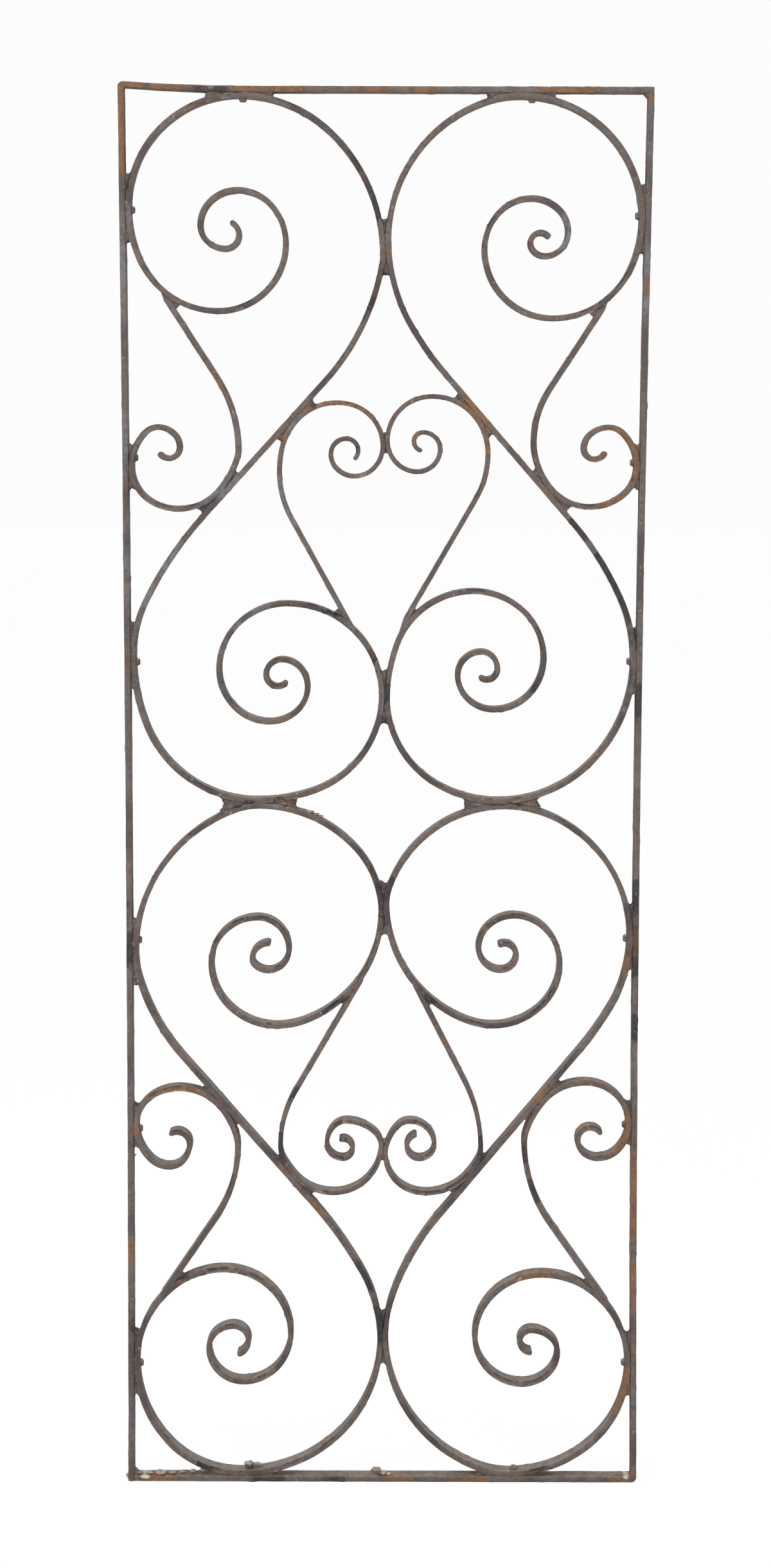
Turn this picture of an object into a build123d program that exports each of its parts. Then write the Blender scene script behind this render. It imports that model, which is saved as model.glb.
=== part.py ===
from build123d import *
import os
from math import atan2, copysign, cos, degrees, inf, radians, sin, sqrt, tan

# Wrought iron window grille: twelve scrolls of flat bar inside a frame of two bent flat bars.
# Four big scrolls make two hearts, head to foot, and each carries two thinner branch scrolls.
# The scrolls are riveted to the frame and fire welded or arc welded to each other where they touch.
# Millimetres. X runs right, Y runs back into the wall, Z runs up.
# The origin is the middle of the bottom edge, at mid depth.
# Every scroll was bent by hand, so each one has sizes of its own, measured from the ironwork.

# the frame
width = 580.0
height = 1563.0
depth = 20.0
frame_bar = 6.5
corner_radius = 6.0
left_bow = 2.7
right_bow = 5.5
top_rise = 5.0
rise_start = 150.0

# the scrolls
big_bar = 6.0
outer_bar = 6.0
heart_bar = 5.0
seat_gap = 0.1
scarf_back = 30.0
scarf_taper = 22.0

# the rivets
shank = 6.0
shank_fit = 0.05
head_width = 10.5
head_proud = 4.0
head_taper = 26.0
head_sink = 1.5
head_facets = 10
left_rivets = [1431.0, 1163.0, 938.0, 626.0, 410.0, 137.0]
right_rivets = [1426.0, 1159.0, 940.0, 629.0, 416.0, 139.0]
top_rivets = [-155.0, 158.0]
bottom_rivets = [-152.0, 150.0]

# the welds
weld_thin = 0.6
twin_weld = 31.0
ring_weld = 44.0
heart_weld = 11.0
crossing_weld = 30.0
frame_weld = 38.0
small_frame_weld = 26.0
crotch_weld = 13.0
corner_weld = 7.0
weld_recess = 1.5

middle = height / 2
front = Plane.XZ.offset(depth / 2)
straight = [(inf, 0)]
frame_reach = frame_bar + seat_gap
scroll_reach = frame_reach + 2 * big_bar


# The scrolls are measured as if each one were the upper left one: out from the middle line
# (to the left is minus) and up from mid height. A quarter is a pair: how far a quarter turn
# reaches ahead, and how far it comes round to the side. A tip is a radius and a turn.
# A bend share is the part, in degrees, of a quarter turn that its first arc takes.
big_scrolls = {
    "big_scroll_upper_left": dict(
        corner=(1, 1), side_at=652, end_at=-159, twin_at=602, end_shares=(45, 43),
        crossing=[(60, 10), 252, 401, (135, 26)],
        low_side_at=164, ring_at=-141, low_twin_at=120, ring_shares=(20, 20),
        head=[(111, 97), (74, 73), (57, 52), (41, 38), (25, 27)], head_share=24, head_tip=(15, 146),
        foot=[(102, 104), (76, 73), (58, 56), (42, 39), (30, 28), (18, 17)], foot_share=70,
        foot_tip=(13, 127)),
    "big_scroll_upper_right": dict(
        corner=(-1, 1), side_at=641, end_at=-147, twin_at=619, end_shares=(51, 20),
        crossing=[(186, 31), 348, 351, (169, 25)],
        low_side_at=159, ring_at=-127, low_twin_at=117, ring_shares=(46, 30),
        head=[(107, 96), (75, 74), (55, 51), (40, 36), (26, 25), (16, 14)], head_share=22,
        head_tip=(11, 136),
        foot=[(119, 95), (78, 74), (57, 55), (40, 38), (26, 26), (18, 19)], foot_share=20,
        foot_tip=(12, 117)),
    "big_scroll_lower_left": dict(
        corner=(1, -1), side_at=643, end_at=-162, twin_at=615, end_shares=(42, 29),
        crossing=[(166, 29), 453, 233, (107, 16)],
        low_side_at=169, ring_at=-139, low_twin_at=123, ring_shares=(70, 48),
        head=[(110, 100), (75, 75), (56, 54), (39, 39), (26, 28)], head_share=46, head_tip=(17, 155),
        foot=[(129, 117), (73, 71), (52, 52), (35, 36), (24, 23), (18, 13)], foot_share=70,
        foot_tip=(18, 89)),
    "big_scroll_lower_right": dict(
        corner=(-1, -1), side_at=644, end_at=-144, twin_at=611, end_shares=(49, 20),
        crossing=[(150, 19), 297, 362, (159, 30)],
        low_side_at=151, ring_at=-135, low_twin_at=114, ring_shares=(70, 70),
        head=[(106, 98), (76, 73), (55, 54), (40, 37), (26, 30)], head_share=52, head_tip=(13, 171),
        foot=[(137, 119), (75, 70), (55, 52), (39, 37), (25, 25), (17, 17)], foot_share=70,
        foot_tip=(13, 111)),
}

# A branch leaves the coil of its big scroll at a root: an angle round that coil, and how much
# it strays from the coil's own direction there. It swells to its belly, comes back to touch
# the crossing bar so far along it, and ends in a coil against the frame or against its twin.
outer_branches = {
    "outer_branch_upper_left": dict(
        carrier="big_scroll_upper_left", root=(49, 16), belly=(-161, 390), touch_at=169,
        side_at=372, shares=(0.40, 0.55), coil=[(43, 29), (24, 22)], tip=(12, 138)),
    "outer_branch_upper_right": dict(
        carrier="big_scroll_upper_right", root=(51, 18), belly=(-163, 400), touch_at=172,
        side_at=373, shares=(0.25, 0.66), coil=[(43, 31), (27, 23)], tip=(12, 149)),
    "outer_branch_lower_left": dict(
        carrier="big_scroll_lower_left", root=(47, 13), belly=(-164, 391), touch_at=155,
        side_at=367, shares=(0.33, 0.54), coil=[(47, 37), (23, 26)], tip=(14, 116)),
    "outer_branch_lower_right": dict(
        carrier="big_scroll_lower_right", root=(45, 10), belly=(-159, 383), touch_at=176,
        side_at=364, shares=(0.39, 0.43), coil=[(39, 34), (23, 21)], tip=(14, 140)),
}
heart_branches = {
    "heart_branch_upper_left": dict(
        carrier="big_scroll_upper_left", root=(52, 23), belly=(-116, 366), touch_at=54,
        side_at=395, shares=(0.25, 0.47), coil=[(33, 31), (26, 24), (17, 17)], tip=(13, 129)),
    "heart_branch_upper_right": dict(
        carrier="big_scroll_upper_right", root=(32, 2), belly=(-113, 386), touch_at=55,
        side_at=401, shares=(0.40, 0.43), coil=[(34, 33), (25, 25), (18, 19)], tip=(10, 160)),
    "heart_branch_lower_left": dict(
        carrier="big_scroll_lower_left", root=(39, 9), belly=(-116, 390), touch_at=39,
        side_at=390, shares=(0.71, 0.46), coil=[(29, 39), (22, 26), (17, 18)], tip=(11, 189)),
    "heart_branch_lower_right": dict(
        carrier="big_scroll_lower_right", root=(43, 16), belly=(-110, 393), touch_at=58,
        side_at=400, shares=(0.73, 0.43), coil=[(39, 27), (28, 27), (16, 17)], tip=(14, 158)),
}


def heading(angle):
    """The unit step in a direction, in degrees from the right towards up."""
    return Vector(cos(radians(angle)), sin(radians(angle)))


def bend(angle, turn):
    """How far an arc of radius one leads that sets out at an angle and turns by so much."""
    inward = copysign(90, turn)
    return heading(angle + inward) - heading(angle + turn + inward)


def solve(first, second, way):
    """How much of two steps it takes to go a certain way."""
    area = first.X * second.Y - first.Y * second.X
    return (way.X * second.Y - way.Y * second.X) / area, (first.X * way.Y - first.Y * way.X) / area


def two_arcs(start, angle, end, turn, first_turn):
    """The pair of arcs, tangent to each other, that leads from start to end."""
    rest = turn - first_turn
    one, two = solve(bend(angle, first_turn), bend(angle + first_turn, rest), end - start)
    return [(one, first_turn), (two, rest)]


def quarter_arcs(start, angle, quarters, sense, share):
    """The arcs of a coil that winds inwards, one pair of arcs for each quarter turn."""
    legs = []
    for ahead, aside in quarters:
        end = start + ahead * heading(angle) + aside * heading(angle + 90 * sense)
        legs += two_arcs(start, angle, end, 90 * sense, share * sense)
        start, angle, share = end, angle + 90 * sense, 45
    return legs


def side_line(corner, up, bar):
    """Where the middle of a scroll's bar lies when it rests against a bowed side of the frame."""
    bow = left_bow if corner[0] > 0 else right_bow
    return -(width / 2 - frame_bar - seat_gap - bar / 2) + bow * (1 - (up / middle) ** 2)


def crossing_legs(start, spot_angle, crossing, end):
    """From the twin to the far side: a shoulder, a bend, a straight run, a bend, a shoulder."""
    (shoulder, shoulder_turn), bend_in, bend_out, (far_shoulder, far_turn) = crossing
    one = start + shoulder * bend(spot_angle, -shoulder_turn)
    two = end - far_shoulder * bend(spot_angle - far_turn, far_turn)
    angle_one = spot_angle - shoulder_turn
    angle_two = spot_angle - far_turn
    centre_one = one + bend_in * heading(angle_one - 90)
    centre_two = two - bend_out * heading(angle_two - 90)
    way = centre_two - centre_one
    straight = sqrt(way.length ** 2 - (bend_in + bend_out) ** 2)
    angle = degrees(atan2(way.Y, way.X)) - degrees(atan2(bend_in + bend_out, straight))
    turn_in = (angle - angle_one + 180) % 360 - 180
    turn_out = (angle_two - angle + 180) % 360 - 180
    legs = [(shoulder, -shoulder_turn), (bend_in, turn_in), (straight, 0)]
    legs += [(bend_out, turn_out), (far_shoulder, far_turn)]
    run_start = one + bend_in * bend(angle_one, turn_in)
    return legs, run_start, angle


def arc_at(spot, angle, legs, sweep):
    """The centre and radius of the arc that is met after turning through a sweep."""
    for radius, turn in legs:
        centre = spot + radius * heading(angle + copysign(90, turn))
        if sweep <= abs(turn):
            break
        spot += radius * bend(angle, turn)
        angle += turn
        sweep -= abs(turn)
    return centre, radius


def big_path(size):
    """All the arcs of a big scroll, from its touch on the frame inwards and outwards."""
    side = Vector(side_line(size["corner"], size["side_at"], big_bar), size["side_at"])
    end = Vector(size["end_at"], middle - frame_bar - seat_gap - big_bar / 2)
    beside_twin = -(big_bar + seat_gap) / 2
    twin = Vector(beside_twin, size["twin_at"])
    low_side = Vector(side_line(size["corner"], size["low_side_at"], big_bar), size["low_side_at"])
    ring = Vector(size["ring_at"], (big_bar + seat_gap) / 2)
    low_twin = Vector(beside_twin, size["low_twin_at"])
    head = quarter_arcs(side, -90, size["head"], 1, size["head_share"])
    head.append(size["head_tip"])
    foot = quarter_arcs(low_twin, 90, size["foot"], 1, size["foot_share"])
    foot.append(size["foot_tip"])
    round_end = two_arcs(side, 90, end, -90, -size["end_shares"][0])
    round_end += two_arcs(end, 0, twin, -90, -size["end_shares"][1])
    cross, run_start, run_angle = crossing_legs(twin, -90, size["crossing"], low_side)
    round_ring = two_arcs(low_side, -90, ring, 90, size["ring_shares"][0])
    round_ring += two_arcs(ring, 0, low_twin, 90, size["ring_shares"][1])
    return dict(
        corner=size["corner"], start=side, angle=90, inwards=head,
        outwards=round_end + cross + round_ring + foot, run_start=run_start, run_angle=run_angle,
        side=side, end=end, twin=twin, low_side=low_side, ring=ring, low_twin=low_twin,
        head=head, foot=foot, near=dict(
            side=(head, round_end), end=(round_end[1::-1], round_end[2:]),
            twin=(round_end[:1:-1], cross), low_side=(round_ring, cross[::-1]),
            ring=(round_ring[2:], round_ring[1::-1]), low_twin=(foot, round_ring[::-1])))


def branch_path(size, carrier, bar, to_frame):
    """All the arcs of a branch scroll, from its root on the coil of a big scroll to its tip."""
    root_angle, stray = size["root"]
    if to_frame:
        coil_start, coil_angle, coil_legs, from_angle = carrier["side"], -90, carrier["head"], -180
    else:
        coil_start, coil_angle, coil_legs, from_angle = carrier["low_twin"], 90, carrier["foot"], 0
    first_centre, first_radius = arc_at(coil_start, coil_angle, coil_legs, 0)
    centre, radius = arc_at(coil_start, coil_angle, coil_legs, root_angle)
    root = first_centre + (first_radius + big_bar / 2) * heading(from_angle + root_angle)
    angle = from_angle + root_angle + 90 - stray
    belly = Vector(*size["belly"])
    run_angle = carrier["run_angle"]
    off_run = (big_bar + bar) / 2 + seat_gap
    if to_frame:
        belly_angle, touch_angle, side_angle, side_turn = -90, run_angle, -270, -90
        touch = carrier["run_start"] + size["touch_at"] * heading(run_angle)
        touch += off_run * heading(run_angle - 90)
        side = Vector(side_line(carrier["corner"], size["side_at"], bar), size["side_at"])
    else:
        belly_angle, touch_angle, side_angle, side_turn = 90, run_angle + 180, -90, -90
        touch = carrier["run_start"] + size["touch_at"] * heading(run_angle)
        touch += off_run * heading(run_angle + 90)
        side = Vector(-(bar + seat_gap) / 2, size["side_at"])
    straight, swell = solve(heading(angle), bend(angle, belly_angle - angle), belly - root)
    legs = [(scarf_back + straight, 0), (swell, belly_angle - angle)]
    turn = touch_angle - belly_angle
    legs += two_arcs(belly, belly_angle, touch, turn, turn * size["shares"][0])
    turn = side_angle - touch_angle
    legs += two_arcs(touch, touch_angle, side, turn, turn * size["shares"][1])
    coil = quarter_arcs(side, side_angle, size["coil"], -1, 45)
    legs += coil
    legs.append((size["tip"][0], -size["tip"][1]))
    return dict(
        corner=carrier["corner"], start=root - scarf_back * heading(angle), angle=angle, root=root,
        outwards=legs, centre=centre, radius=radius, touch=touch, touch_angle=touch_angle,
        side=side, near=dict(touch=(legs[3:1:-1], legs[4:6]), side=(legs[5:3:-1], coil)))


def placed(corner, spot):
    """A place measured for the upper left corner, moved to its own corner of the grille."""
    return Vector(corner[0] * spot.X, middle + corner[1] * spot.Y)


def faced(corner, angle):
    """A direction measured for the upper left corner, mirrored with its own corner."""
    return degrees(atan2(corner[1] * sin(radians(angle)), corner[0] * cos(radians(angle))))


def edge_run(corner, spot, angle, legs, aside):
    """Draw one edge of a bent bar, so far to the left of the line through its middle."""
    sense = corner[0] * corner[1]
    edge_end = placed(corner, spot) + aside * heading(faced(corner, angle) + 90)
    for length, turn in legs:
        if turn == 0:
            edge = Line(edge_end, edge_end + length * heading(faced(corner, angle)))
        else:
            radius = length - copysign(aside, turn * sense * aside)
            edge = JernArc(edge_end, heading(faced(corner, angle)), radius, turn * sense)
        angle += turn
        edge_end = edge @ 1
    return edge_end, angle


def round_tip(corner, edge_end, angle, bar):
    """Round off the end of a bar, from its left edge to its right edge."""
    JernArc(edge_end, heading(faced(corner, angle)), bar / 2, -180)


def big_outline(path):
    """The front face of a big scroll."""
    with BuildSketch(front) as outline:
        with BuildLine():
            for angle, legs in ((path["angle"] - 180, path["inwards"]), (path["angle"], path["outwards"])):
                edge_run(path["corner"], path["start"], angle, legs, -big_bar / 2)
                tip, tip_angle = edge_run(path["corner"], path["start"], angle, legs, big_bar / 2)
                round_tip(path["corner"], tip, tip_angle, big_bar)
        make_face()
    return outline.sketch_local


def branch_outline(path, bar, carrier):
    """The front face of a branch scroll, its root drawn out thin and laid on the coil."""
    corner, start, angle, legs = path["corner"], path["start"], path["angle"], path["outwards"]
    outer = -corner[0] * corner[1] * bar / 2
    ahead = start + scarf_taper * heading(angle)
    shorter = [(legs[0][0] - scarf_taper, 0)] + legs[1:]
    with BuildSketch(front) as outline:
        with BuildLine():
            inner_start = placed(corner, start) - outer * heading(faced(corner, angle) + 90)
            outer_start = placed(corner, ahead) + outer * heading(faced(corner, angle) + 90)
            Line(inner_start, outer_start)
            ends = {outer: edge_run(corner, ahead, angle, shorter, outer),
                    -outer: edge_run(corner, start, angle, legs, -outer)}
            tip, tip_angle = ends[bar / 2]
            round_tip(corner, tip, tip_angle, bar)
        make_face()
        centre = placed(corner, path["centre"])
        with Locations((centre.X, centre.Y)):
            Circle(path["radius"], mode=Mode.SUBTRACT)
        add(carrier, mode=Mode.SUBTRACT)
    return outline.sketch_local


def side_bow(sign, up):
    """How far a side of the frame is bowed inwards at a height."""
    bow = left_bow if sign < 0 else right_bow
    return bow * (1 - ((up - middle) / middle) ** 2)


def left_top_outline():
    """Left side and top, one bar bent at the top left corner, where the top lifts a little."""
    left = -width / 2
    peak = height + top_rise
    shoulder = height - 2 * corner_radius
    with BuildSketch(front) as outline:
        with BuildLine():
            outer = ThreePointArc((left, 0), (left + left_bow, middle),
                                  (left + side_bow(-1, shoulder), shoulder))
            corner = Line(outer @ 1, (left, peak))
            top = TangentArc((-rise_start, height), corner @ 1, tangent=(-1, 0))
            end = Polyline(top @ 0, (width / 2, height), (width / 2, height - frame_bar),
                           (-rise_start, height - frame_bar))
            under = TangentArc(end @ 1, (left + frame_bar, peak - frame_bar), tangent=(-1, 0))
            inner = ThreePointArc(under @ 1, (left + frame_bar + left_bow, middle), (left + frame_bar, 0))
            Line(inner @ 1, outer @ 0)
        make_face()
        bent = outline.vertices().group_by(Axis.X)[0].sort_by(Axis.Y)[-1]
        fillet(bent, corner_radius)
    return outline.sketch_local


def right_bottom_outline():
    """Right side and bottom, one bar bent at the bottom right corner."""
    right = width / 2
    top = height - frame_bar - seat_gap
    left = -width / 2 + frame_bar + seat_gap
    with BuildSketch(front) as outline:
        with BuildLine():
            outer = ThreePointArc((right, 0), (right - right_bow, middle), (right, top))
            end = Line(outer @ 1, (right - frame_bar, top))
            inner = ThreePointArc(end @ 1, (right - frame_bar - right_bow, middle),
                                  (right - frame_bar, frame_bar))
            Polyline(inner @ 1, (left, frame_bar), (left, 0), outer @ 0)
        make_face()
        bent = outline.vertices().group_by(Axis.X)[-1].sort_by(Axis.Y)[0]
        fillet(bent, corner_radius)
    return outline.sketch_local


def rivet_planes(side):
    """The planes on the outside of the frame, facing in, where the rivets of a side come through."""
    if side == "left":
        return [Plane((-width / 2 + side_bow(-1, up), 0, up), (0, 1, 0), (1, 0, 0))
                for up in left_rivets]
    if side == "right":
        return [Plane((width / 2 - side_bow(1, up), 0, up), (0, 1, 0), (-1, 0, 0))
                for up in right_rivets]
    if side == "top":
        return [Plane((across, 0, height), (1, 0, 0), (0, 0, -1)) for across in top_rivets]
    return [Plane((across, 0, 0), (1, 0, 0), (0, 0, 1)) for across in bottom_rivets]


def bar_solid(name, outline, bores, reach):
    """A bar of the full depth with the bores of its rivets, drilled from outside the frame."""
    with BuildPart() as bar:
        with BuildSketch(front):
            add(outline)
        extrude(amount=-depth)
        for plane in bores:
            with Locations(-plane):
                Hole(shank / 2 + shank_fit, reach)
    bar.part.label = name
    export_step(bar.part, f"parts/{name}.step")


def rivet_set(name, side, scrolls):
    """The rivets of one side: flush outside, with a head hammered to facets inside each scroll."""
    seat = frame_bar + seat_gap + big_bar - head_sink
    slope = tan(radians(head_taper))
    with BuildPart() as rivets:
        for plane in rivet_planes(side):
            with BuildSketch(plane.offset(seat)):
                RegularPolygon(head_width / 2 + head_sink * slope, head_facets)
            extrude(amount=head_sink + head_proud, taper=head_taper)
        with BuildSketch(front):
            for scroll in scrolls:
                add(scroll)
        extrude(amount=-depth, mode=Mode.SUBTRACT)
        for plane in rivet_planes(side):
            with BuildSketch(plane):
                Circle(shank / 2)
            extrude(amount=seat + 2 * head_sink)
    rivets.part.label = name
    export_step(rivets.part, f"parts/{name}.step")


def aside_at(legs, ahead):
    """How far a bar has bent away from its touch when it has gone so far ahead."""
    along, aside, angle = 0, 0, 0
    for radius, turn in legs:
        slope = sin(radians(angle)) + (ahead - along) / radius
        if turn == 0 or slope < sin(radians(angle + abs(turn))):
            break
        along += radius * (sin(radians(angle + abs(turn))) - sin(radians(angle)))
        aside += radius * (cos(radians(angle)) - cos(radians(angle + abs(turn))))
        angle += abs(turn)
    if turn == 0:
        return aside + (ahead - along) * tan(radians(angle))
    return aside + radius * (cos(radians(angle)) - sqrt(1 - slope ** 2))


def wedge(corner, spot, angle, left, right, reach):
    """The outline of a weld that fills the gap between two bars, ahead of where they touch.

    Left and right are the half thickness of a bar and the arcs that bend it away."""
    first = sqrt(weld_thin * min(left[1][0][0], right[1][0][0]))
    points = []
    for ahead in (first, (first + reach) / 2, reach):
        aside = left[0] + aside_at(left[1], ahead)
        points.append(spot + ahead * heading(angle) + aside * heading(angle + 90))
    for ahead in (reach, (first + reach) / 2, first):
        aside = right[0] + aside_at(right[1], ahead)
        points.append(spot + ahead * heading(angle) - aside * heading(angle + 90))
    return [placed(corner, point) for point in points]


def both_wedges(corner, spot, angle, mine, other, reach):
    """The welds on both sides of a touch, for a bar that lies to the left of the angle.

    Mine and other are a half thickness, the arcs ahead of the touch and those behind it."""
    ahead = wedge(corner, spot, angle, (mine[0], mine[1]), (other[0], other[1]), reach)
    behind = wedge(corner, spot, angle + 180, (other[0], other[2]), (mine[0], mine[2]), reach)
    return [ahead, behind]


def crotch(path, bar):
    """The weld in the fork between a branch and the coil that carries it."""
    angle = path["angle"]
    edge = path["root"] + bar / 2 * heading(angle + 90) - path["centre"]
    outside = path["radius"] + big_bar / 2
    along = edge.dot(heading(angle))
    leave = -along + sqrt(along ** 2 - edge.dot(edge) + outside ** 2)
    fork = path["root"] + bar / 2 * heading(angle + 90) + leave * heading(angle)
    out = fork - path["centre"]
    tangent = degrees(atan2(out.Y, out.X)) + 90
    drop = crotch_weld ** 2 / (2 * outside) + big_bar / 2
    gap = (angle - tangent + 180) % 360 - 180
    first = weld_thin / abs(sin(radians(gap)))
    points = [fork + first * heading(angle) + bar / 2 * heading(angle - 90),
              fork + crotch_weld * heading(angle) + bar / 2 * heading(angle - 90),
              fork + crotch_weld * heading(tangent) + drop * heading(tangent + 90),
              fork + first * heading(tangent) + big_bar / 2 * heading(tangent + 90)]
    return [placed(path["corner"], point) for point in points]


def weld_solid(name, wedges, bars, bores=()):
    """Weld metal between bars, a little behind their front and back faces."""
    with BuildPart() as weld:
        with BuildSketch(front.offset(-weld_recess)):
            for points in wedges:
                with BuildLine():
                    Polyline(*points, close=True)
                make_face()
            for bar in bars:
                add(bar, mode=Mode.SUBTRACT)
        extrude(amount=-(depth - 2 * weld_recess))
        for plane in bores:
            with Locations(-plane):
                Hole(shank / 2 + shank_fit, scroll_reach)
    weld.part.label = name
    export_step(weld.part, f"parts/{name}.step")


os.makedirs("parts", exist_ok=True)

# the outlines of all bars, seen from the front
big_paths = {name: big_path(size) for name, size in big_scrolls.items()}
faces = {name: big_outline(path) for name, path in big_paths.items()}
branch_paths = {}
for branches, bar, to_frame in ((outer_branches, outer_bar, True), (heart_branches, heart_bar, False)):
    for name, size in branches.items():
        carrier = size["carrier"]
        branch_paths[name] = branch_path(size, big_paths[carrier], bar, to_frame)
        faces[name] = branch_outline(branch_paths[name], bar, faces[carrier])
faces["frame_left_top"] = left_top_outline()
faces["frame_right_bottom"] = right_bottom_outline()

# the frame bars
left, right = rivet_planes("left"), rivet_planes("right")
top, bottom = rivet_planes("top"), rivet_planes("bottom")
bar_solid("frame_left_top", faces["frame_left_top"], left + top, frame_reach)
bar_solid("frame_right_bottom", faces["frame_right_bottom"], right + bottom, frame_reach)

# the scrolls: each one is drilled for the rivets that hold it to the frame
bores = {
    "big_scroll_upper_left": [left[0], left[2], top[0]],
    "big_scroll_upper_right": [right[0], right[2], top[1]],
    "big_scroll_lower_left": [left[5], left[3], bottom[0]],
    "big_scroll_lower_right": [right[5], right[3], bottom[1]],
    "outer_branch_upper_left": [left[1]],
    "outer_branch_upper_right": [right[1]],
    "outer_branch_lower_left": [left[4]],
    "outer_branch_lower_right": [right[4]],
}
for name in big_paths | branch_paths:
    bar_solid(name, faces[name], bores.get(name, []), scroll_reach)

# the rivets
upper_left = [faces["big_scroll_upper_left"], faces["outer_branch_upper_left"]]
lower_left = [faces["big_scroll_lower_left"], faces["outer_branch_lower_left"]]
upper_right = [faces["big_scroll_upper_right"], faces["outer_branch_upper_right"]]
lower_right = [faces["big_scroll_lower_right"], faces["outer_branch_lower_right"]]
rivet_set("rivets_left", "left", upper_left + lower_left)
rivet_set("rivets_right", "right", upper_right + lower_right)
rivet_set("rivets_top", "top", [upper_left[0], upper_right[0]])
rivet_set("rivets_bottom", "bottom", [lower_left[0], lower_right[0]])

# the welds where the scrolls meet their twins at the middle line
for row in ("upper", "lower"):
    pair = [f"big_scroll_{row}_left", f"big_scroll_{row}_right"]
    one, two = (big_paths[name] for name in pair)
    for touch in ("twin", "low_twin"):
        spot = Vector(0, (one[touch].Y + two[touch].Y) / 2)
        wedges = both_wedges(one["corner"], spot, 90, (big_bar / 2, *one["near"][touch]),
                             (big_bar / 2, *two["near"][touch]), twin_weld)
        weld_solid(f"weld_{row}_{touch}", wedges, [faces[name] for name in pair])
    pair = [f"heart_branch_{row}_left", f"heart_branch_{row}_right"]
    one, two = (branch_paths[name] for name in pair)
    spot = Vector(0, (one["side"].Y + two["side"].Y) / 2)
    wedges = both_wedges(one["corner"], spot, 90, (heart_bar / 2, *one["near"]["side"]),
                         (heart_bar / 2, *two["near"]["side"]), heart_weld)
    weld_solid(f"weld_{row}_heart", wedges, [faces[name] for name in pair])

# the welds where the upper and lower big scrolls meet at mid height
for column in ("left", "right"):
    pair = [f"big_scroll_upper_{column}", f"big_scroll_lower_{column}"]
    one, two = (big_paths[name] for name in pair)
    spot = Vector((one["ring"].X + two["ring"].X) / 2, 0)
    wedges = both_wedges(one["corner"], spot, 0, (big_bar / 2, *one["near"]["ring"]),
                         (big_bar / 2, *two["near"]["ring"]), ring_weld)
    weld_solid(f"weld_ring_{column}", wedges, [faces[name] for name in pair])

# the welds of the branches, at their roots and where they touch the crossing bars
for branches, bar, turn in ((outer_branches, outer_bar, 180), (heart_branches, heart_bar, 0)):
    for name, size in branches.items():
        path = branch_paths[name]
        bars = [faces[name], faces[size["carrier"]]]
        weld_solid(f"weld_root_{name}", [crotch(path, bar)], bars)
        angle = big_paths[size["carrier"]]["run_angle"] + turn
        spot = path["touch"] - (bar + seat_gap) / 2 * heading(angle + 90)
        wedges = both_wedges(path["corner"], spot, angle, (bar / 2, *path["near"]["touch"]),
                             (big_bar / 2, straight, straight), crossing_weld)
        weld_solid(f"weld_crossing_{name}", wedges, bars)

# the welds along the frame
for column in ("left", "right"):
    wedges, bars = [], [faces["frame_left_top"], faces["frame_right_bottom"]]
    for row in ("upper", "lower"):
        names = [f"big_scroll_{row}_{column}", f"outer_branch_{row}_{column}"]
        bars += [faces[name] for name in names]
        big, branch = big_paths[names[0]], branch_paths[names[1]]
        for path, touch, bar, reach in ((big, "side", big_bar, frame_weld),
                                        (big, "low_side", big_bar, frame_weld),
                                        (branch, "side", outer_bar, small_frame_weld)):
            spot = path[touch] - Vector((bar + seat_gap) / 2, 0)
            wedges += both_wedges(path["corner"], spot, -90, (bar / 2, *path["near"][touch]),
                                  (frame_bar / 2, straight, straight), reach)
    weld_solid(f"weld_frame_{column}", wedges, bars, rivet_planes(column))
for row, frame, end in (("upper", "frame_left_top", "top"), ("lower", "frame_right_bottom", "bottom")):
    wedges, bars = [], [faces[frame]]
    for column in ("left", "right"):
        name = f"big_scroll_{row}_{column}"
        bars.append(faces[name])
        path = big_paths[name]
        spot = path["end"] + Vector(0, (big_bar + seat_gap) / 2)
        wedges += both_wedges(path["corner"], spot, 180, (big_bar / 2, *path["near"]["end"]),
                              (frame_bar / 2, straight, straight), frame_weld)
    weld_solid(f"weld_frame_{end}", wedges, bars, rivet_planes(end))

# the fillet welds in the two corners where the frame bars meet
frame_faces = [faces["frame_left_top"], faces["frame_right_bottom"]]
for name, across, up, sign in (("top_right", width / 2 - frame_bar, height - frame_bar, -1),
                               ("bottom_left", frame_bar - width / 2, frame_bar, 1)):
    inside = Vector(across - sign, up - sign)
    points = [inside, inside + sign * Vector(corner_weld, 0), inside + sign * Vector(0, corner_weld)]
    weld_solid(f"weld_corner_{name}", [points], frame_faces)
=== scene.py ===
from math import radians
import bmesh
import bpy
from mathutils import Euler, Matrix, Vector, noise


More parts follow.
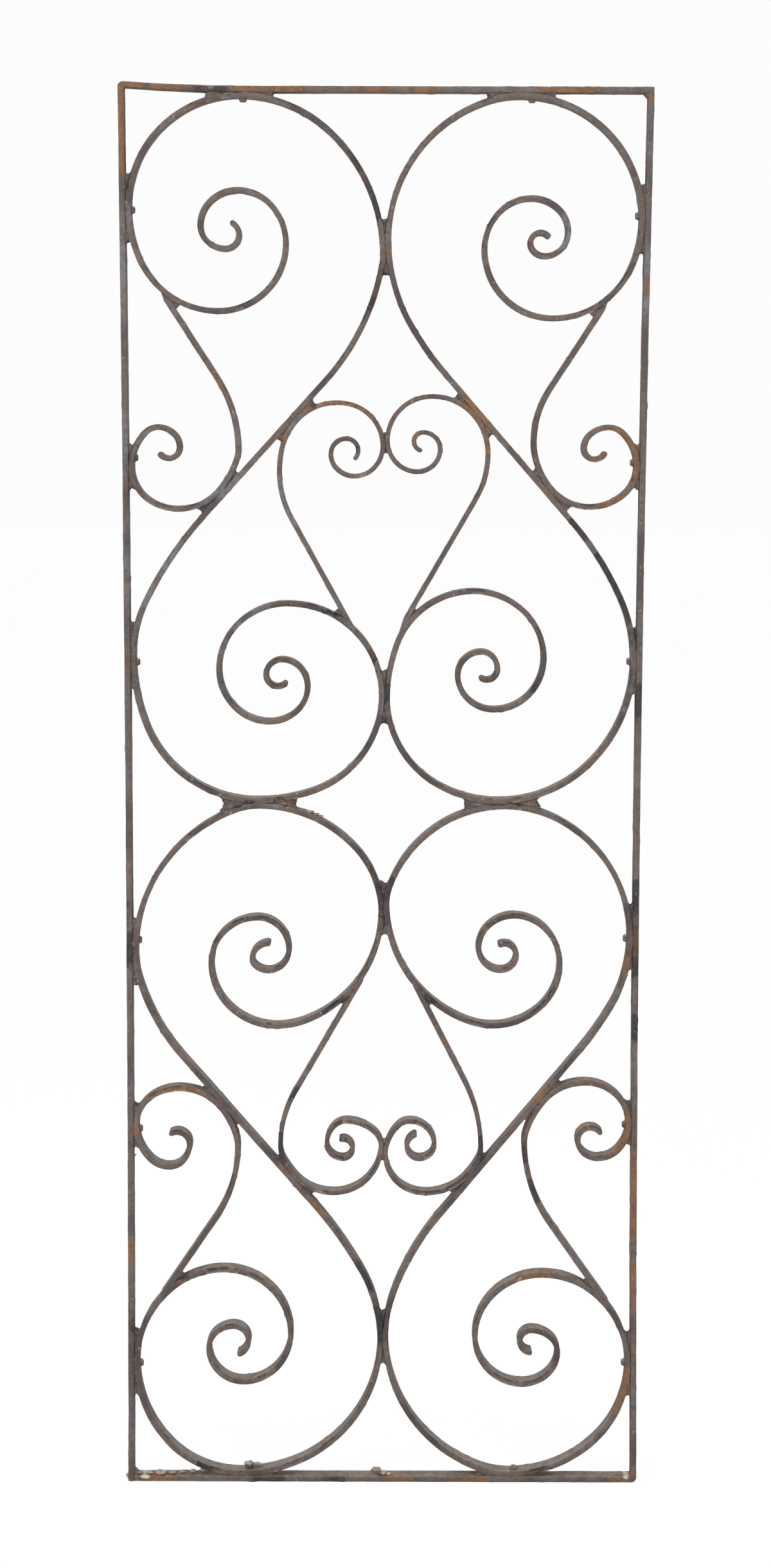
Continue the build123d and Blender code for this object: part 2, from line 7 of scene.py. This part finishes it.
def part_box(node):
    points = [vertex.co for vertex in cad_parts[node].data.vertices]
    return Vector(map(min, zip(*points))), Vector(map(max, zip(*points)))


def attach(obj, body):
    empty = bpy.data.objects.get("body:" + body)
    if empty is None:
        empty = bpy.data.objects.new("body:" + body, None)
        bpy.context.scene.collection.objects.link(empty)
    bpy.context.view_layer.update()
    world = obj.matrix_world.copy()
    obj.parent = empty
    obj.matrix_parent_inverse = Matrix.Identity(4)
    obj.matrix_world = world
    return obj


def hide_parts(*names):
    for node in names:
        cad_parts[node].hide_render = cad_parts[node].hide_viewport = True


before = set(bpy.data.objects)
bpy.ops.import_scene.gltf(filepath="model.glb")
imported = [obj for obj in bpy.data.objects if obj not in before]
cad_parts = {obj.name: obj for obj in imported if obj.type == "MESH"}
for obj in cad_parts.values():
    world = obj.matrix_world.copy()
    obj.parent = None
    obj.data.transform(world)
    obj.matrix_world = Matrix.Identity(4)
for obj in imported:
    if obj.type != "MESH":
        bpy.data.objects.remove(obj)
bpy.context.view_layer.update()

# The worn finish that all the ironwork shares. Old black paint has weathered to a grey brown,
# thins to blue grey where hands and rain rubbed it, and rust comes through it in patches.
# Dust and painted light from above pale what faces up, and the arrises are dark with grime and painted
# shade.
weathered = bpy.data.node_groups.new("weathered iron", "ShaderNodeTree")
for socket_name, value in (("Paint", (0.185, 0.139, 0.118, 1)), ("Rubbed", (0.235, 0.225, 0.245, 1)),
                           ("Old Paint", (0.022, 0.02, 0.028, 1)), ("Rust", (0.31, 0.155, 0.075, 1)),
                           ("Dust", (0.44, 0.365, 0.31, 1)), ("Chip", (0.62, 0.6, 0.52, 1))):
    socket = weathered.interface.new_socket(socket_name, in_out="INPUT", socket_type="NodeSocketColor")
    socket.default_value = value
for socket_name, value in (("Rubbed Share", 0.4), ("Old Share", 0.4), ("Rust Share", 0.4),
                           ("Chip Share", 0.3), ("Shift", 0.0)):
    socket = weathered.interface.new_socket(socket_name, in_out="INPUT", socket_type="NodeSocketFloat")
    socket.default_value = value
weathered.interface.new_socket("Color", in_out="OUTPUT", socket_type="NodeSocketColor")
weathered.interface.new_socket("Roughness", in_out="OUTPUT", socket_type="NodeSocketFloat")
weathered.interface.new_socket("Height", in_out="OUTPUT", socket_type="NodeSocketFloat")


def node_in(tree, kind, inputs=None, **settings):
    """A new node in a tree, with its settings and the links or values of its inputs."""
    node = tree.nodes.new(kind)
    for name, value in settings.items():
        setattr(node, name, value)
    for name, value in (inputs or {}).items():
        if isinstance(value, bpy.types.NodeSocket):
            tree.links.new(value, node.inputs[name])
        else:
            node.inputs[name].default_value = value
    return node


def cloud(tree, place, scale, detail, rough):
    """A fractal noise over the object, as one value."""
    texture = node_in(tree, "ShaderNodeTexNoise", noise_dimensions="4D", inputs={
        "Vector": place[0], "W": place[1], "Scale": scale, "Detail": detail, "Roughness": rough})
    return texture.outputs["Fac"]


def scaled_sum(tree, value, factor, added):
    """A value times a factor, plus another value."""
    return node_in(tree, "ShaderNodeMath", operation="MULTIPLY_ADD",
                   inputs={0: value, 1: factor, 2: added}).outputs[0]


def layer_of(tree, name):
    """A value that the mesh carries at its points."""
    return node_in(tree, "ShaderNodeAttribute", attribute_name=name).outputs["Fac"]


def between(tree, value, low, high, share=1.0):
    """A value stretched from low and high to nought and a share, smoothly."""
    step = node_in(tree, "ShaderNodeMapRange", interpolation_type="SMOOTHSTEP",
                   inputs={"Value": value, "From Min": low, "From Max": high})
    return node_in(tree, "ShaderNodeMath", operation="MULTIPLY",
                   inputs={0: step.outputs["Result"], 1: share}).outputs[0]


def blended(tree, amount, under, over):
    """One colour laid over another."""
    mix = node_in(tree, "ShaderNodeMix", data_type="RGBA")
    for socket, value in ((mix.inputs["Factor"], amount), (mix.inputs[6], under), (mix.inputs[7], over)):
        if isinstance(value, bpy.types.NodeSocket):
            tree.links.new(value, socket)
        else:
            socket.default_value = value
    return mix.outputs[2]


def stained(tree, share, layer, ragged, strength):
    """A share of a finish, raised to a strength where a stain lies, with a ragged rim."""
    reach = scaled_sum(tree, ragged, 1.6, layer)
    return node_in(tree, "ShaderNodeMath", operation="MAXIMUM",
                   inputs={0: share, 1: between(tree, reach, 1.0, 1.4, strength)}).outputs[0]


given = node_in(weathered, "NodeGroupInput").outputs
coordinates = node_in(weathered, "ShaderNodeTexCoord").outputs
place = (coordinates["Object"], given["Shift"])
facing = node_in(weathered, "ShaderNodeSeparateXYZ", inputs={"Vector": coordinates["Normal"]}).outputs
arris = layer_of(weathered, "arris")
chipped = layer_of(weathered, "chipped")
rusty = layer_of(weathered, "rusty")
bare = layer_of(weathered, "rubbed")
tarry = layer_of(weathered, "tarry")
fine = cloud(weathered, place, 420, 4, 0.65)
grain = cloud(weathered, place, 110, 6, 0.7)
rubbed = between(weathered, cloud(weathered, place, 17, 7, 0.62), 0.44, 0.62, given["Rubbed Share"])
rubbed = stained(weathered, rubbed, bare, cloud(weathered, place, 64, 5, 0.7), 0.85)
colour = blended(weathered, rubbed, given["Paint"], given["Rubbed"])
old = between(weathered, cloud(weathered, place, 12.3, 8, 0.68), 0.47, 0.58, given["Old Share"])
old = stained(weathered, old, tarry, cloud(weathered, place, 71, 5, 0.7), 0.95)
colour = blended(weathered, old, colour, given["Old Paint"])
rust = between(weathered, cloud(weathered, place, 26.7, 8, 0.72), 0.5, 0.62, given["Rust Share"])
rust = stained(weathered, rust, rusty, cloud(weathered, place, 58, 6, 0.72), 0.85)
colour = blended(weathered, rust, colour, given["Rust"])
# Upward faces are paled towards the dust colour: partly dust, partly painted light from above.
dust_and_top_light_share = between(weathered, facing["Z"], 0.2, 0.9, 0.72)
colour = blended(weathered, dust_and_top_light_share, colour, given["Dust"])
# The arrises are darkened towards near black: partly grime, partly painted shade along the edges.
arris_grime_and_shade = node_in(weathered, "ShaderNodeMath", operation="MULTIPLY",
                    inputs={0: arris, 1: between(weathered, grain, 0.35, 0.6, 0.75)}).outputs[0]
colour = blended(weathered, arris_grime_and_shade, colour, (0.035, 0.028, 0.024, 1))
speckle = between(weathered, fine, 0.3, 0.72)
shade = node_in(weathered, "ShaderNodeMapRange", inputs={
    "Value": grain, "From Min": 0.3, "From Max": 0.7, "To Min": 0.3, "To Max": 1.74}).outputs["Result"]
shade = scaled_sum(weathered, speckle, 0.3, shade)
toned = node_in(weathered, "ShaderNodeMix", data_type="RGBA", blend_type="MULTIPLY")
toned.inputs["Factor"].default_value = 1.0
weathered.links.new(colour, toned.inputs[6])
grey = node_in(weathered, "ShaderNodeCombineColor", inputs={"Red": shade, "Green": shade, "Blue": shade})
weathered.links.new(grey.outputs[0], toned.inputs[7])
spots = between(weathered, cloud(weathered, place, 190, 3, 0.5), 0.66, 0.7, given["Chip Share"])
spots = node_in(weathered, "ShaderNodeMath", operation="MAXIMUM",
                inputs={0: spots, 1: between(weathered, chipped, 0.3, 0.6)}).outputs[0]
colour = blended(weathered, spots, toned.outputs[2], given["Chip"])
matt = scaled_sum(weathered, speckle, 0.12, scaled_sum(weathered, rust, 0.3, 0.52))
relief = scaled_sum(weathered, rust, 0.35, scaled_sum(weathered, grain, 0.9, fine))
node_in(weathered, "NodeGroupOutput", inputs={"Color": colour, "Roughness": matt, "Height": relief})


def iron(name, relief_depth, **finish):
    """A painted iron that has weathered in its own way."""
    material = bpy.data.materials.new(name)
    material.use_nodes = True
    tree = material.node_tree
    group = node_in(tree, "ShaderNodeGroup", node_tree=weathered)
    for socket_name, value in finish.items():
        group.inputs[socket_name.replace("_", " ").title()].default_value = value
    surface = tree.nodes["Principled BSDF"]
    surface.inputs["Specular IOR Level"].default_value = 0.4
    tree.links.new(group.outputs["Color"], surface.inputs["Base Color"])
    tree.links.new(group.outputs["Roughness"], surface.inputs["Roughness"])
    bump = node_in(tree, "ShaderNodeBump", inputs={
        "Strength": 0.7, "Distance": relief_depth, "Height": group.outputs["Height"]})
    tree.links.new(bump.outputs["Normal"], surface.inputs["Normal"])
    return material


def forged(node, material, shift, stains, worn=0.0005, grain_size=0.0055,
           dents=0.00025, flakes=0.0014, slices=0):
    """A bar as it is now: the CAD bar with worn arrises, hammer marks, flakes of paint and stains.

    Long straight bars are first cut into slices, so that their faces stay even. Stains are given
    by their kind, each as its place across and up and its radius.
    """
    work = bmesh.new()
    work.from_mesh(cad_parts[node].data)
    bmesh.ops.remove_doubles(work, verts=work.verts, dist=0.00001)
    arris_layer = work.verts.layers.float.new("arris")
    stain_layers = {kind: work.verts.layers.float.new(kind)
                    for kind in ("chipped", "rusty", "rubbed", "tarry")}
    corners = [edge for edge in work.edges if edge.is_manifold and edge.calc_face_angle() > radians(40)]
    if worn:
        rounded = bmesh.ops.bevel(work, geom=corners, offset=worn, offset_type="OFFSET", segments=1,
                                  profile=0.5, affect="EDGES", material=-1, clamp_overlap=True)
        for vert in rounded["verts"]:
            vert[arris_layer] = 1
    if slices:
        low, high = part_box(node)
        for axis in range(3):
            across = Vector([float(axis == other) for other in range(3)])
            for count in range(int((high[axis] - low[axis]) / slices) + 1):
                cut = across * (low[axis] + slices * (count + 0.5))
                bmesh.ops.bisect_plane(work, geom=work.verts[:] + work.edges[:] + work.faces[:],
                                       dist=0.00001, plane_co=cut, plane_no=across)
    for _ in range(6):
        bmesh.ops.triangulate(work, faces=work.faces)
        long_edges = [edge for edge in work.edges if edge.calc_length() > grain_size]
        if not long_edges:
            break
        bmesh.ops.subdivide_edges(work, edges=long_edges, cuts=1)
    bmesh.ops.triangulate(work, faces=work.faces)
    work.normal_update()
    offset = Vector((shift, shift * 2, shift * 3))
    moves = []
    for vert in work.verts:
        spot = vert.co + offset
        lift = dents * noise.fractal(spot * 45, 1, 2, 4)
        flake = noise.noise(spot * 160) + 0.5 * noise.noise(spot * 420)
        if flake > 0.42:
            lift += flakes * (flake - 0.42)
        moves.append(vert.normal * lift)
        for kind, places in stains.items():
            ragged = 0.4 * noise.noise(spot * 300) if kind == "chipped" else 0
            for across, up, radius in places:
                away = ((vert.co.x - across) ** 2 + (vert.co.z - up) ** 2) ** 0.5
                if away < 1.5 * radius:
                    reach = min(1.4 - away / radius, 1) + ragged
                    vert[stain_layers[kind]] = max(vert[stain_layers[kind]], reach)
    for vert, move in zip(work.verts, moves):
        vert.co += move
    mesh = bpy.data.meshes.new("forged_" + node)
    work.to_mesh(mesh)
    work.free()
    mesh.shade_smooth()
    mesh.materials.append(material)
    piece = bpy.data.objects.new("forged_" + node, mesh)
    bpy.context.scene.collection.objects.link(piece)
    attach(piece, "root")
    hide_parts(node)
    return piece


# The frame: two flat bars on edge, each bent at one corner and welded to the other.
# Its top left is brown with rust, its left side is rubbed to blue grey, and pale paint clings to
# the foot.
frame_iron = iron("frame iron", 0.0005, rubbed_share=0.45, old_share=0.45, rust_share=0.45)
forged("frame_left_top", frame_iron, 0.3, dict(
    rusty=[(-0.285, 1.535, 0.04), (-0.285, 1.505, 0.035), (-0.285, 0.27, 0.015), (-0.13, 1.555, 0.04),
           (-0.235, 1.565, 0.02), (-0.015, 1.56, 0.02), (0.2, 1.56, 0.035), (0.04, 1.56, 0.02)],
    rubbed=[(-0.285, 1.38, 0.015), (-0.285, 1.355, 0.025), (-0.285, 1.335, 0.015),
            (-0.285, 1.19, 0.02), (-0.285, 1.16, 0.015), (-0.285, 1.05, 0.02), (-0.285, 1.005, 0.02)],
    tarry=[(-0.28, 0.615, 0.02), (-0.28, 0.185, 0.01), (-0.19, 1.555, 0.02)]),
       grain_size=0.0075, slices=0.006)
forged("frame_right_bottom", frame_iron, 1.7, dict(
    rusty=[(0.28, 1.56, 0.015), (0.285, 0.335, 0.05), (0.285, 0.23, 0.03), (-0.255, 0.005, 0.02),
           (0.02, 0.005, 0.015), (0.27, 0.005, 0.015), (0.105, 0.005, 0.02)],
    rubbed=[(0.285, 1.375, 0.015), (0.285, 1.33, 0.01)],
    tarry=[(0.28, 0.615, 0.03), (0.28, 0.895, 0.02), (0.28, 0.675, 0.02), (0.28, 0.53, 0.015),
           (-0.13, 0.005, 0.02), (-0.055, 0.005, 0.015)],
    chipped=[(-0.271, 0.006, 0.004), (-0.289, 0.005, 0.004), (-0.145, 0.012, 0.003),
             (-0.194, 0.008, 0.002), (0.279, 0.006, 0.003), (0.274, 0.955, 0.002),
             (-0.259, 0.004, 0.002)]),
       grain_size=0.0075, slices=0.006)

# The four big scrolls, each one long flat bar bent cold round a former.
# Long stretches of the old black paint are left on their outer turns.
big_iron = iron("big scroll iron", 0.0005, rubbed_share=0.3, old_share=0.6, rust_share=0.35)
forged("big_scroll_upper_left", big_iron, 3.1, dict(
    tarry=[(-0.01, 1.34, 0.02), (-0.015, 1.445, 0.025), (-0.06, 0.995, 0.01), (-0.115, 0.78, 0.01),
           (-0.15, 0.775, 0.01), (-0.015, 0.945, 0.01), (-0.03, 1.485, 0.015)],
    rubbed=[(-0.17, 1.135, 0.02), (-0.24, 1.045, 0.03), (-0.255, 1.015, 0.02), (-0.155, 0.985, 0.02),
            (-0.175, 0.91, 0.015), (-0.04, 0.98, 0.01), (-0.275, 1.43, 0.01)],
    rusty=[(-0.145, 0.775, 0.005)]))
forged("big_scroll_upper_right", big_iron, 4.1, dict(
    rusty=[(0.095, 1.215, 0.025), (0.005, 1.385, 0.005)],
    tarry=[(0.21, 1.085, 0.015), (0.255, 1.015, 0.035), (0.24, 1.045, 0.02), (0.165, 0.915, 0.01),
           (-0.005, 0.905, 0.015)],
    rubbed=[(0.195, 1.41, 0.02), (0.005, 1.355, 0.01)]))
forged("big_scroll_lower_left", big_iron, 5.1, dict(
    tarry=[(0.005, 0.675, 0.025), (0, 0.71, 0.02), (-0.055, 0.555, 0.015), (-0.02, 0.24, 0.02),
           (0, 0.185, 0.025), (-0.115, 0.39, 0.015), (-0.06, 0.555, 0.015), (-0.205, 0.015, 0.01)],
    rusty=[(-0.075, 0.325, 0.015), (-0.235, 0.25, 0.015)],
    rubbed=[(-0.12, 0.78, 0.005)]))
forged("big_scroll_lower_right", big_iron, 6.1, dict(
    tarry=[(0.005, 0.685, 0.015), (0.055, 0.565, 0.01), (0.02, 0.195, 0.015)],
    rusty=[(0.17, 0.245, 0.025), (0.27, 0.11, 0.03), (0.17, 0.455, 0.015), (0.26, 0.6, 0.015)]))

# The branch scrolls are lighter bars, scarfed to the big ones and coiled tight at their ends.
# They have kept less of their paint, and rust has browned them.
branch_iron = iron("branch scroll iron", 0.0005, rubbed_share=0.35, old_share=0.4, rust_share=0.5)
forged("outer_branch_upper_left", branch_iron, 8.3, dict(
    rubbed=[(-0.19, 1.11, 0.015), (-0.18, 1.13, 0.01)],
    rusty=[(-0.255, 1.18, 0.01)]))
forged("heart_branch_upper_left", branch_iron, 9.3, dict(
    rusty=[(-0.03, 1.215, 0.02), (-0.065, 1.22, 0.015)],
    rubbed=[(-0.11, 1.115, 0.03), (-0.1, 1.205, 0.015)]))
forged("outer_branch_upper_right", branch_iron, 10.3, dict(
    rusty=[(0.26, 1.17, 0.035), (0.25, 1.115, 0.015)]))
forged("heart_branch_upper_right", branch_iron, 11.3, dict(
    rusty=[(0.095, 1.215, 0.015), (0.11, 1.175, 0.01)],
    rubbed=[(0.03, 0.99, 0.01)],
    tarry=[(0.1, 1.03, 0.01)]))
forged("outer_branch_lower_left", branch_iron, 12.3, dict(
    rusty=[(-0.235, 0.455, 0.03), (-0.275, 0.41, 0.01)]))
forged("heart_branch_lower_left", branch_iron, 13.3, dict(
    tarry=[(-0.115, 0.39, 0.02), (-0.105, 0.455, 0.01)]))
forged("outer_branch_lower_right", branch_iron, 14.3, dict(
    rusty=[(0.27, 0.405, 0.03)],
    tarry=[(0.16, 0.385, 0.015), (0.17, 0.34, 0.015)]))
forged("heart_branch_lower_right", branch_iron, 15.3, dict(
    tarry=[(0.11, 0.39, 0.015)],
    rusty=[(0.075, 0.515, 0.01)]))

# The rivets that hold the scrolls to the frame, with heads hammered round on the inside.
# Their paint is thick, and rust runs out from under them.
rivet_iron = iron("rivet iron", 0.0004, rubbed_share=0.3, old_share=0.4, rust_share=0.7)
for side in ("left", "right", "top", "bottom"):
    forged("rivets_" + side, rivet_iron, 21.3, {},
           worn=0.0009, grain_size=0.0024, dents=0.0004, flakes=0.001)


# The welds: metal run into the narrow gaps beside each touch, rough and never ground off.
# Their ends are hollow and crumbly, and dirt fills the seam between the two welds of a touch.
def islands(node):
    """The separate lumps of a CAD node, as lists of places."""
    whole = bmesh.new()
    whole.from_mesh(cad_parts[node].data)
    bmesh.ops.remove_doubles(whole, verts=whole.verts, dist=0.00001)
    seen = set()
    lumps = []
    for first in whole.verts:
        if first in seen:
            continue
        seen.add(first)
        front = [first]
        lump = []
        while front:
            vert = front.pop()
            lump.append(vert.co.copy())
            for edge in vert.link_edges:
                other = edge.other_vert(vert)
                if other not in seen:
                    seen.add(other)
                    front.append(other)
        lumps.append(lump)
    whole.free()
    return lumps


def paired(node):
    """The two welds of each touch in a node, next to each other along it."""
    lumps = islands(node)
    low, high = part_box(node)
    axis = 0 if high[0] - low[0] > high[2] - low[2] else 2
    lumps.sort(key=lambda lump: sum(place[axis] for place in lump) / len(lump))
    return list(zip(lumps[::2], lumps[1::2]))


def hollow_end(piece, lump, away):
    """Wear the open end of a weld hollow and crumbly, between the two bars that it joins."""
    across = away.cross(Vector((0, 1, 0)))
    far = max(place.dot(away) for place in lump)
    near = min(place.dot(away) for place in lump)
    rim = [place.dot(across) for place in lump if place.dot(away) > far - 0.002]
    centre = (max(rim) + min(rim)) / 2
    half = (max(rim) - min(rim)) / 2
    reach = 0.009
    for vert in piece.data.vertices:
        along = vert.co.dot(away)
        aside = vert.co.dot(across) - centre
        if max(near, far - reach) < along < far + 0.003 and abs(aside) < half + 0.002:
            hollow = max(0, 1 - (aside / half) ** 2) * (1 - max(0, far - along) / reach)
            crumbs = 0.35 + 0.9 * abs(noise.noise(vert.co * 420)) + 0.5 * noise.noise(vert.co * 130)
            vert.co -= away * half * 1.5 * hollow * crumbs * min(1, (far - near) / 0.02)


def thin_end(lump, way):
    """The middle of the thin edge where a weld comes nearest to its partner."""
    tip = max(place.dot(way) for place in lump)
    thin = [place for place in lump if place.dot(way) > tip - 0.0008]
    return sum(thin, Vector()) / len(thin)


def fill_seam(form, start, end):
    """A strip of dirt between two welds, as deep as the bars less a little."""
    aside = (end - start).normalized().cross(Vector((0, 1, 0))) * 0.0007
    steps = 24
    last = None
    for step in range(steps + 1):
        spot = start.lerp(end, step / steps)
        depth = 0.0082 + 0.0006 * noise.noise(spot * 300)
        ring = [form.verts.new((spot.x + sign * aside.x, back, spot.z + sign * aside.z))
                for sign, back in ((-1, -depth), (1, -depth), (1, depth), (-1, depth))]
        if last:
            for corner in range(4):
                form.faces.new((last[corner - 1], last[corner], ring[corner], ring[corner - 1]))
        last = ring


def placed_mesh(name, form, material):
    """A finished form as a piece of the grille."""
    mesh = bpy.data.meshes.new(name)
    form.to_mesh(mesh)
    form.free()
    mesh.materials.append(material)
    piece = bpy.data.objects.new(name, mesh)
    bpy.context.scene.collection.objects.link(piece)
    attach(piece, "root")
    return piece


# The welds' colour for upward faces, both dust and painted light from above, is darker than on the bars.
weld_iron = iron("weld iron", 0.0008, paint=(0.105, 0.08, 0.068, 1), rubbed=(0.2, 0.21, 0.25, 1),
                 dust=(0.2, 0.165, 0.14, 1), rubbed_share=0.1, old_share=0.7, rust_share=0.5)
weld_stains = dict(rubbed=[(-0.1245, 0.777, 0.006), (0.001, 1.385, 0.007)], rusty=[(0.004, 1.402, 0.007)])
seams = bmesh.new()
for node in sorted(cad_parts):
    if not node.startswith("weld"):
        continue
    piece = forged(node, weld_iron, 31.7, weld_stains,
                   worn=0, grain_size=0.002, dents=0.0006, flakes=0.002)
    if node.startswith("weld_root") or node.startswith("weld_corner"):
        continue
    for one, two in paired(node):
        apart = (sum(two, Vector()) / len(two) - sum(one, Vector()) / len(one)).normalized()
        hollow_end(piece, one, -apart)
        hollow_end(piece, two, apart)
        fill_seam(seams, thin_end(one, apart), thin_end(two, -apart))
bmesh.ops.recalc_face_normals(seams, faces=seams.faces)
placed_mesh("seam_dirt", seams, weld_iron)

# Lumps of rust and spatter that stand on the bars, most of them along the bottom bar.
# Each is a squashed ball, broken up by noise and half sunk in its bar.
lump_form = bmesh.new()
for across, up, size in (
        (-0.253, 0.0085, 0.0034), (-0.266, 0.0085, 0.0022), (-0.24, 0.0085, 0.0026),
        (-0.278, 0.008, 0.0024), (-0.228, 0.0095, 0.002), (-0.217, 0.0105, 0.0022),
        (-0.203, 0.0125, 0.003), (-0.196, 0.013, 0.0024), (-0.152, 0.0192, 0.0036),
        (-0.143, 0.0188, 0.0026), (-0.007, 0.0125, 0.0032), (0.0, 0.009, 0.003), (0.007, 0.0075, 0.002),
        (-0.2835, 1.032, 0.0024), (-0.2835, 0.38, 0.0024), (-0.289, 0.0055, 0.0026),
        (-0.2865, 0.0025, 0.0028), (-0.2685, 0.005, 0.0026), (-0.083, 0.771, 0.003),
        (-0.0765, 0.7685, 0.0026), (-0.071, 0.7665, 0.0022)):
    made = bmesh.ops.create_icosphere(lump_form, subdivisions=3, radius=size)["verts"]
    for vert in made:
        rough = 1 + 0.45 * noise.noise(vert.co * 500 + Vector((across, up, 0)) * 90)
        rough += 0.2 * noise.noise(vert.co * 1400)
        squashed = Vector((vert.co.x * 1.7, vert.co.y * 1.9, vert.co.z * 0.65))
        vert.co = Vector((across, -0.0035, up)) + squashed * rough
lump_iron = iron("lump iron", 0.0008, rubbed_share=0.1, old_share=0.45, rust_share=0.75)
rust_lumps = placed_mesh("rust_lumps", lump_form, lump_iron)
rust_lumps.data.shade_smooth()

# The studio: a pale floor that runs back into white, one broad lamp high in front and two at the sides.
# The floor shows the camera nearly its own white, and keeps a faint shadow.
bpy.ops.mesh.primitive_plane_add(size=40, location=(0, 10, -0.0005))
floor = bpy.context.object
floor.name = "floor"
floor_white = bpy.data.materials.new("floor white")
floor_white.use_nodes = True
tree = floor_white.node_tree
tree.nodes["Principled BSDF"].inputs["Base Color"].default_value = (0.86, 0.86, 0.86, 1)
tree.nodes["Principled BSDF"].inputs["Roughness"].default_value = 0.9
glow = node_in(tree, "ShaderNodeEmission", inputs={"Color": (1, 1, 1, 1), "Strength": 1.08})
seen = node_in(tree, "ShaderNodeLightPath").outputs["Is Camera Ray"]
amount = node_in(tree, "ShaderNodeMath", operation="MULTIPLY", inputs={0: seen, 1: 0.82}).outputs[0]
mix = node_in(tree, "ShaderNodeMixShader", inputs={
    0: amount, 1: tree.nodes["Principled BSDF"].outputs[0], 2: glow.outputs[0]})
tree.links.new(mix.outputs[0], tree.nodes["Material Output"].inputs["Surface"])
floor.data.materials.append(floor_white)
world = bpy.data.worlds.new("white room")
world.use_nodes = True
bpy.context.scene.world = world
tree = world.node_tree
seen = node_in(tree, "ShaderNodeLightPath").outputs["Is Camera Ray"]
level = node_in(tree, "ShaderNodeMapRange",
                inputs={"Value": seen, "To Min": 0.62, "To Max": 0.98}).outputs["Result"]
tree.nodes["Background"].inputs["Color"].default_value = (1, 1, 1, 1)
tree.links.new(level, tree.nodes["Background"].inputs["Strength"])
for name, energy, size, spot, aim in (("lamp high in front", 54, 2.2, (-0.9, -2.6, 3.3), (0, 0, 0.9)),
                                      ("lamp at the right", 18, 1.8, (2.6, -2.2, 1.6), (0, 0, 0.8)),
                                      ("lamp at the left", 18, 1.8, (-2.8, -1.6, 1.2), (0, 0, 0.8))):
    lamp = bpy.data.lights.new(name, "AREA")
    lamp.energy = energy
    lamp.size = size
    holder = bpy.data.objects.new(name, lamp)
    bpy.context.scene.collection.objects.link(holder)
    holder.location = spot
    holder.rotation_euler = (Vector(aim) - Vector(spot)).to_track_quat("-Z", "Y").to_euler()

# The camera stands in front at head height and looks slightly down, as the photographer's did.
# The photograph is turned by a sixth of a degree.
photo_height_pixels = 2442
focal_pixels = 4661.1
looking_down = 6.909
tilted = 0.155
camera = bpy.data.cameras.new("camera")
camera.sensor_fit = "VERTICAL"
camera.sensor_height = 24
camera.lens = camera.sensor_height * focal_pixels / photo_height_pixels
viewer = bpy.data.objects.new("camera", camera)
bpy.context.scene.collection.objects.link(viewer)
viewer.location = (0.0014, -3.31, 1.2034)
turned = Euler((radians(90 - looking_down), 0, 0)).to_matrix() @ Matrix.Rotation(radians(tilted), 3, "Z")
viewer.rotation_euler = turned.to_euler()
bpy.context.scene.camera = viewer

bpy.context.scene.view_settings.view_transform = "Standard"
